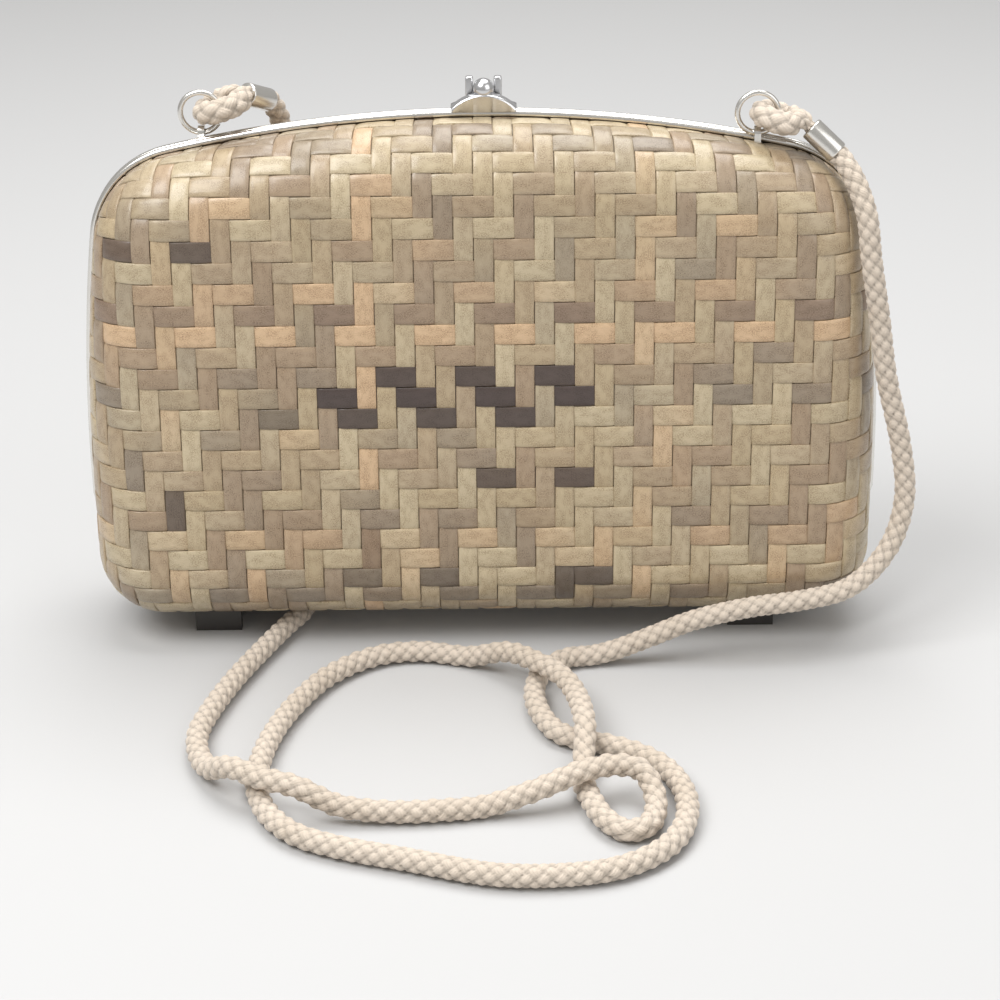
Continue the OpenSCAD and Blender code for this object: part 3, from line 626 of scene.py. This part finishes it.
right_hook = loop_frame(RING_X, -1, lean_deg=-15, turn_deg=-12)
left_hook = loop_frame(-RING_X, 1, lean_deg=15, turn_deg=42)
right_mouth = right_hook[0] + LOOP_L * right_hook[1]
left_mouth = left_hook[0] + LOOP_L * left_hook[1]
right_run, left_run = unit([0.72, -0.24, -0.65]), unit([0.55, 0.75, -0.37])
route = np.array([
    right_mouth + right_run * (FERRULE_L - CORD_INSIDE), right_mouth + right_run * (FERRULE_L + CORD_OUTSIDE),
    [91.5, -11, 122], [94.5, -15.5, 114], [96, -17.5, 103], [98.5, -18.5, 88.5], [101, -19, 73],
    [105.5, -19.5, 54.5], [107, -21, 41.5], [104.5, -23.5, 31], [99, -26.5, 23.5], [92, -29, 19],
    [81, -31, 17], [67, -32, 15.5], [53, -32, 12], [42.5, -32, 7.6], [34, -32.5, 4.4],
    [28, -33, GROUND], [21, -34.5, GROUND], [15.5, -40.5, GROUND], [13, -47.5, GROUND],
    [12.5, -56, GROUND], [14.5, -66, GROUND], [18, -73, GROUND], [23, -76.5, GROUND], [29, -79, GROUND],
    [36.5, -83.5, GROUND], [42, -89.5, GROUND], [45.5, -98, GROUND], [46.5, -107, GROUND],
    [45, -116.5, GROUND], [41, -124.5, GROUND], [34, -131, GROUND], [25, -135, GROUND], [4.5, -136, GROUND],
    [-17.5, -129, GROUND], [-33, -123.5, GROUND], [-42.5, -118, GROUND], [-49, -109.5, GROUND],
    [-52.5, -99, GROUND], [-53, -88, GROUND], [-51.5, -75, GROUND], [-47, -59, GROUND], [-38.5, -42, GROUND],
    [-27, -32, GROUND], [-16, -30, GROUND], [-4, -33, GROUND], [6, -39.5, 7.5], [13, -47.5, OVER],
    [18.5, -54, OVER], [22, -63, OVER], [24, -79.5, OVER], [23.5, -88, 5.5], [23, -95, GROUND],
    [24.5, -104, GROUND], [27.5, -113, GROUND], [32, -118, GROUND], [36.5, -116.5, GROUND],
    [39, -110, GROUND], [39, -104, 4.5], [36.5, -99.5, 7.5], [31, -99, OVER], [23, -101.5, OVER],
    [12, -105, 6], [0, -107, GROUND], [-10, -108.5, GROUND], [-20, -109, GROUND], [-33, -108.5, 4.5],
    [-43, -106.5, 8.5], [-51.5, -103, OVER],
    [-58.5, -97.5, 8.5], [-64.5, -90, 4], [-68, -81, GROUND], [-69, -72, GROUND], [-67.5, -62, GROUND],
    [-63, -45, GROUND], [-57, -28, GROUND], [-51.5, -14, GROUND], [-48, -6, GROUND], [-47.5, -2, GROUND],
    [-47.5, 2, GROUND], [-47.5, 9, GROUND], [-48, 19, 3.8], [-49, 27.5, 9.5], [-50, 30.5, 22],
    [-51, 29.5, 50], [-52, 28, 85], [-51.5, 26, 110], [-50, 22, 126],
    left_mouth + left_run * (FERRULE_L + CORD_OUTSIDE), left_mouth + left_run * (FERRULE_L - CORD_INSIDE)])
print(f"strap route: {len(route)} points")

# %% A smooth curve and its sides
KNOT_STEPS = 24


def smooth_curve(knots, spacing):
    """An even Catmull-Rom curve through the knots, timed by the root of the distance between them."""
    p = np.concatenate([[2 * knots[0] - knots[1]], knots, [2 * knots[-1] - knots[-2]]])
    times = np.concatenate([[0], np.cumsum(np.sqrt(np.linalg.norm(np.diff(p, axis=0), axis=1)))])
    u = np.linspace(0, 1, KNOT_STEPS, endpoint=False)[None, :, None]
    t0, t1, t2, t3 = (times[i : len(times) - 3 + i, None, None] for i in range(4))
    p0, p1, p2, p3 = (p[i : len(p) - 3 + i, None, :] for i in range(4))
    t = t1 + (t2 - t1) * u
    a1 = (t1 - t) / (t1 - t0) * p0 + (t - t0) / (t1 - t0) * p1
    a2 = (t2 - t) / (t2 - t1) * p1 + (t - t1) / (t2 - t1) * p2
    a3 = (t3 - t) / (t3 - t2) * p2 + (t - t2) / (t3 - t2) * p3
    b1 = (t2 - t) / (t2 - t0) * a1 + (t - t0) / (t2 - t0) * a2
    b2 = (t3 - t) / (t3 - t1) * a2 + (t - t1) / (t3 - t1) * a3
    curve = ((t2 - t) / (t2 - t1) * b1 + (t - t1) / (t2 - t1) * b2).reshape(-1, 3)
    curve = np.concatenate([curve, knots[-1:]])
    arc = np.concatenate([[0], np.cumsum(np.linalg.norm(np.diff(curve, axis=0), axis=1))])
    even = np.linspace(0, arc[-1], int(arc[-1] / spacing) + 1)
    return np.stack([np.interp(even, arc, curve[:, i]) for i in range(3)], 1), even


def carry_sides(path):
    """Headings along a path, and a side vector carried along it with the least twist."""
    heading = np.gradient(path, axis=0)
    heading /= np.linalg.norm(heading, axis=1, keepdims=True)
    sides = np.empty_like(path)
    seed = np.array([0.0, 0.0, 1.0]) if abs(heading[0][2]) < 0.8 else np.array([0.0, 1.0, 0.0])
    last = np.cross(heading[0], seed)
    for k, h in enumerate(heading):
        last = last - h * (last @ h)
        last /= np.linalg.norm(last)
        sides[k] = last
    return heading, sides


# %% [markdown]
# A braid has two families of yarns that wind opposite ways and pass over and under each other. In the
# two winding directions the surface is a checkerboard: on one colour of square the first family is on
# top, on the other the second. The radius is a small dome over each square. Every yarn could be a tube of
# its own, but one closed tube is lighter and bends as one cord.

# %% The braided tube
BRAID_YARNS, BRAID_RISE, BRAID_LENGTH = 4, 0.8, 3.8
ROUND_ACROSS, LONG_ALONG = 0.7, 0.4
GROOVE_SHADE, GROOVE_NARROW = 0.5, 1.6


def braid_tube(path, arc, radius, around):
    """Points of a braided tube, its yarn counts as corner UVs, and painted shade that darkens its grooves.

    First and second count the yarns that wind each way. Where their whole parts add to an even number the
    first is on top. The radius is a dome over each square, round across the yarn and long along it.
    """
    heading, sides = carry_sides(path)
    up = np.cross(heading, sides)
    theta = np.arange(around + 1) / around
    first = BRAID_YARNS * theta[None, :] + arc[:, None] / BRAID_LENGTH
    second = BRAID_YARNS * theta[None, :] - arc[:, None] / BRAID_LENGTH
    first_on_top = (np.floor(first) + np.floor(second)) % 2 == 0
    across, along = np.where(first_on_top, first, second) % 1, np.where(first_on_top, second, first) % 1
    dome = (4 * across * (1 - across)) ** ROUND_ACROSS * (4 * along * (1 - along)) ** LONG_ALONG
    r = np.asarray(radius)[:, None] - BRAID_RISE * (1 - dome)
    angle = 2 * np.pi * theta[None, :, None]
    points = path[:, None] + r[..., None] * (sides[:, None] * np.cos(angle) + up[:, None] * np.sin(angle))
    uv = np.stack([first, second], -1)
    corners = np.stack([uv[1:, :-1], uv[1:, 1:], uv[:-1, 1:], uv[:-1, :-1]], 2)
    quads = grid_quads(len(path), around, wrap_cols=True)[:, ::-1]
    # Painted shade: the colour darkens from the top of each yarn's dome into the grooves between the yarns.
    light = np.clip(dome[:, :-1] * GROOVE_NARROW, 0, 1)
    shade = (GROOVE_SHADE + (1 - GROOVE_SHADE) * light)[..., None] * np.ones(4)
    return points[:, :-1], quads, corners.reshape(-1, 2), shade


# %% [markdown]
# The cotton is a soft off-white with fine fibres along each yarn and a little soil. Painted shade darkens
# the grooves between the yarns. The braid's own counts are its UV, so the fibres turn with the yarn that is
# on top.

# %% Cotton material
cotton, tree, shader = start_material("braided_cotton")
lay = put_node(tree, "ShaderNodeUVMap", uv_map="lay").outputs["UV"]
spot = put_node(tree, "ShaderNodeTexCoord").outputs["Object"]
on_top = put_node(tree, "ShaderNodeTexChecker", {"Vector": lay, "Scale": 1.0}).outputs["Fac"]
fibre_lay = {"Vector": lay, "Scale": 1.6, "Distortion": 1.0}
one_way = put_node(tree, "ShaderNodeTexWave", fibre_lay, bands_direction="X")
other_way = put_node(tree, "ShaderNodeTexWave", fibre_lay, bands_direction="Y")
fibre = blend_colours(tree, on_top, one_way.outputs["Color"], other_way.outputs["Color"])
fuzz = noise(tree, spot, 1400.0, 3.0)
soil = noise(tree, spot, 60.0, 3.0)
shade = blend_colours(tree, fuzz, (0.54, 0.46, 0.38, 1), (0.7, 0.61, 0.51, 1))
shade = blend_colours(tree, remap(tree, soil, 0.45, 0.75, 0.0, 0.4), shade, (0.46, 0.38, 0.29, 1))
# Painted shade: the point colours darken the cotton in the grooves between the yarns.
painted_groove_shade = put_node(tree, "ShaderNodeVertexColor", layer_name="tone_and_groove_shade").outputs["Color"]
shade = blend_colours(tree, 1.0, shade, painted_groove_shade, "MULTIPLY")
tree.links.new(shade, shader.inputs["Base Color"])
shader.inputs["Roughness"].default_value = 0.85
shader.inputs["Sheen Weight"].default_value = 0.2
add_bump(tree, shader, fibre, 0.3, 0.0002)
print(f"{cotton.name}: {len(tree.nodes)} nodes")

# %% [markdown]
# The strap is the braid along the whole route, with each end slimmer where it sits in its ferrule. It passes
# under the base, where the two halves hinge.

# %% The strap
AROUND, STRAP_SPACING, PLUG_L = 40, 0.6, 2.6
path, arc = smooth_curve(route, STRAP_SPACING)
plug = FERRULE_R - FERRULE_T - TOUCH
ends = np.minimum(arc, arc[-1] - arc)
radius = np.where(ends < PLUG_L, plug, STRAP_R)
points, quads, corners, shade = braid_tube(path, arc, radius, AROUND)
strap = make_piece("strap", points, quads, cotton, None, shade, cap_ends(len(path), AROUND), corners)
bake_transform(strap)
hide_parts("strap_front", "strap_back")

# %% [markdown]
# Each end of the strap is doubled round its ring, and both legs are squeezed into the ferrule. A half torus
# would be quicker, but it couldn't narrow into the ferrule. So the path is a half turn about the wire with
# two legs that close in on the mouth, and the same braid goes round it. The fold follows its ring.

# %% The doubled ends
FOLD_R = WIRE_R + WIRE_PLAY + LOOP_R
PINCH_R = FERRULE_R / 2 - TOUCH
PINCH_TIP, PINCH_L, SWELL_L, FULL_L, SWELL = 0.02, 0.8, 2.8, 5.5, 0.65
SQUEEZE = np.array([[PINCH_TIP, PINCH_R], [PINCH_L, PINCH_R], [SWELL_L, PINCH_R + SWELL]])
LOOP_AROUND, LOOP_SPACING, LEG_GAP, LEG_SHARE = 36, 0.35, 0.03, 0.3
for name, hook, mouth, run, body in (("right_loop", right_hook, right_mouth, right_run, "front_half"),
                                     ("left_loop", left_hook, left_mouth, left_run, "rear_half")):
    wire, out, across = hook
    beside = unit(across - run * (across @ run))
    swing = np.arange(-25, 206, 25)
    bow = np.radians(np.clip(swing, 0, 180))
    ahead = np.where((swing < 0) | (swing > 180), LEG_SHARE * LOOP_L, 0)
    fold = wire + FOLD_R * np.cos(bow)[:, None] * across + (ahead - FOLD_R * np.sin(bow))[:, None] * out
    back, spread = SQUEEZE[:, :1] * run, (SQUEEZE[:, 1:] + LEG_GAP) * beside
    knots = np.concatenate([mouth - back + spread, fold, (mouth - back - spread)[::-1]])
    loop_path, loop_arc = smooth_curve(knots, LOOP_SPACING)
    near = np.minimum(loop_arc, loop_arc[-1] - loop_arc)
    loop_radius = np.interp(near, [0, PINCH_L, SWELL_L, FULL_L], [PINCH_R, PINCH_R, PINCH_R + SWELL, LOOP_R])
    points, quads, corners, shade = braid_tube(loop_path, loop_arc, loop_radius, LOOP_AROUND)
    caps = cap_ends(len(loop_path), LOOP_AROUND)
    loop = make_piece(name, points, quads, cotton, None, shade, caps, corners)
    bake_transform(loop)
    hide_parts(name.replace("loop", "strap_loop"))

# %% [markdown]
# The clasp stands on the crown of the rims. An arched boss and the ball go with the front half. A lower boss,
# two horns beside the ball and a bar behind it go with the rear half. The solids have a plain round dome
# here, so this cell departs from them. Cut and bevelled blocks could make the forms, but a loft through
# closed sections rounds each edge by a named amount.

# %% Forms of the clasp
CROWN_Z = LIFT + BODY_H + RIM_OUT
CLASP_X, BOSS_HALF, BOSS_END, BOSS_SUNK, UNDERCUT = 1.4, 8.1, 0.7, 0.6, 0.5
FRONT_RISE, FRONT_D, REAR_RISE, REAR_D = 3.5, 3.4, 1.7, 2.8
BALL_R, BALL_Y, BALL_Z = 2.6, -0.9, CROWN_Z + 5.2
HORN_X, HORN_Y, HORN_HALF, HORN_TOP = 3.5, 1.7, 1.0, 144.9
BAR_Y, BAR_HALF_X, BAR_HALF_Y, BAR_TOP = 2.3, 3.2, 0.4, 142.2
EDGE_ROUND, EDGE_SIDE, EDGE_BACK = 0.45, 0.18, 0.12
ARCH_STEPS, POST_STEPS, POST_FROM, BALL_RINGS, BALL_STEPS = 41, 32, 0.8, 33, 48


def loft(sections):
    """Points and faces of a closed form through sections, turned outwards by the sign of its volume."""
    rows, cols = sections.shape[:2]
    points = sections.reshape(-1, 3)
    faces = grid_quads(rows, cols, wrap_cols=True)
    a, b, c, d = (points[faces[:, i]] - points.mean(0) for i in range(4))
    volume = (a * np.cross(b, c)).sum() + (a * np.cross(c, d)).sum()
    ends = cap_ends(rows, cols)
    if volume < 0:
        return points, faces[:, ::-1], ends
    return points, faces, [end[::-1] for end in ends]


def boss(rise, depth, side):
    """Arched half boss: a segment of a circle on a narrower foot, rounded at its outer face."""
    radius = (BOSS_HALF**2 + rise**2) / (2 * rise)
    x = np.linspace(-BOSS_HALF, BOSS_HALF, ARCH_STEPS)
    z = BOSS_END + rise - radius + np.sqrt(radius**2 - x**2)
    y = np.array([depth, depth - EDGE_BACK, depth - EDGE_ROUND, PART_GAP / 2])
    inset = np.array([EDGE_ROUND, EDGE_SIDE, 0.0, 0.0])[:, None]
    wide = x[None] * (1 - inset / BOSS_HALF)
    top = np.stack([wide, side * y[:, None] + 0 * wide, z[None] - inset], -1)
    under = PART_GAP / 2 + (y - PART_GAP / 2) * UNDERCUT
    foot = np.stack([wide, side * under[:, None] + 0 * wide, -BOSS_SUNK + 0 * wide], -1)[:, ::-1]
    return loft(np.concatenate([top, foot], 1) + [CLASP_X, 0, CROWN_Z])


def post(x, y, half_x, half_y, top):
    """Upright bar of rounded-square section with a rounded top."""
    turn = 2 * np.pi * np.arange(POST_STEPS) / POST_STEPS
    square = np.stack([half_x * np.sign(np.cos(turn)) * np.abs(np.cos(turn)) ** 0.5,
                       half_y * np.sign(np.sin(turn)) * np.abs(np.sin(turn)) ** 0.5], -1)
    z = np.array([CROWN_Z + POST_FROM, top - 0.8, top - 0.3, top - 0.08, top])
    size = np.array([1.0, 1.0, 0.92, 0.74, 0.5])
    level = square[None] * size[:, None, None] + [x, y]
    return loft(np.concatenate([level, np.repeat(z[:, None, None], POST_STEPS, 1)], -1))


def ball():
    """Snap ball, lofted through its circles of latitude."""
    rise = np.radians(np.linspace(-86, 86, BALL_RINGS))[:, None]
    turn = (2 * np.pi * np.arange(BALL_STEPS) / BALL_STEPS)[None]
    around = np.stack([np.cos(rise) * np.cos(turn), np.cos(rise) * np.sin(turn), np.sin(rise) + 0 * turn], -1)
    return loft(BALL_R * around + [CLASP_X, BALL_Y, BALL_Z])


# %% The two halves of the clasp
front_forms = [boss(FRONT_RISE, FRONT_D, -1), ball()]
horns = [post(CLASP_X + x, HORN_Y, HORN_HALF, HORN_HALF, HORN_TOP) for x in (-HORN_X, HORN_X)]
bar = post(CLASP_X, BAR_Y, BAR_HALF_X, BAR_HALF_Y, BAR_TOP)
rear_forms = [boss(REAR_RISE, REAR_D, 1), *horns, bar]
SHARP_DEG = 40
for half, forms in (("front", front_forms), ("rear", rear_forms)):
    shift = np.cumsum([0] + [len(points) for points, _, _ in forms])
    points = np.concatenate([form[0] for form in forms])
    quads = np.concatenate([form[1] + s for form, s in zip(forms, shift)])
    caps = [[i + int(s) for i in end] for form, s in zip(forms, shift) for end in form[2]]
    snap = make_piece(f"{half}_snap", points, quads, chrome, caps=caps)
    snap.data.set_sharp_from_angle(angle=np.radians(SHARP_DEG))
    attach(snap, f"{half}_half")
    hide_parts(f"{half}_clasp")

# %% [markdown]
# A ferrule is a short smooth tube with its edges rolled in. A Screw modifier could turn its profile, but
# the ferrule leans with the strap, so the profile is turned about the strap's direction directly.

# %% The ferrules
# Profile of a ferrule: how far along the strap, and the radius there.
sleeve = np.array([[0, 0.01], [0, 2.6], [0.06, 2.78], [0.22, 2.9], [0.5, 2.95], [4.5, 2.95], [8.5, 2.95],
                   [8.78, 2.9], [8.94, 2.8], [9.0, 2.68], [8.94, 2.6], [8.7, 2.58], [7.9, 2.56], [7.8, 0.01]])
TURNED_STEPS = 48
for name, mouth, run, body in (("right_sleeve", right_mouth, right_run, "front_half"),
                               ("left_sleeve", left_mouth, left_run, "rear_half")):
    first = unit(np.cross(run, (0, 0, 1)))
    second = np.cross(run, first)
    angle = np.arange(TURNED_STEPS) / TURNED_STEPS * 2 * np.pi
    ray = np.cos(angle)[:, None] * first + np.sin(angle)[:, None] * second
    points = mouth + sleeve[:, None, :1] * run + sleeve[:, None, 1:] * ray[None]
    quads = grid_quads(len(sleeve), TURNED_STEPS, wrap_cols=True)[:, ::-1]
    ferrule = make_piece(name, points, quads, nickel, caps=cap_ends(len(sleeve), TURNED_STEPS))
    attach(ferrule, body)
    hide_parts(name.replace("sleeve", "ferrule"))
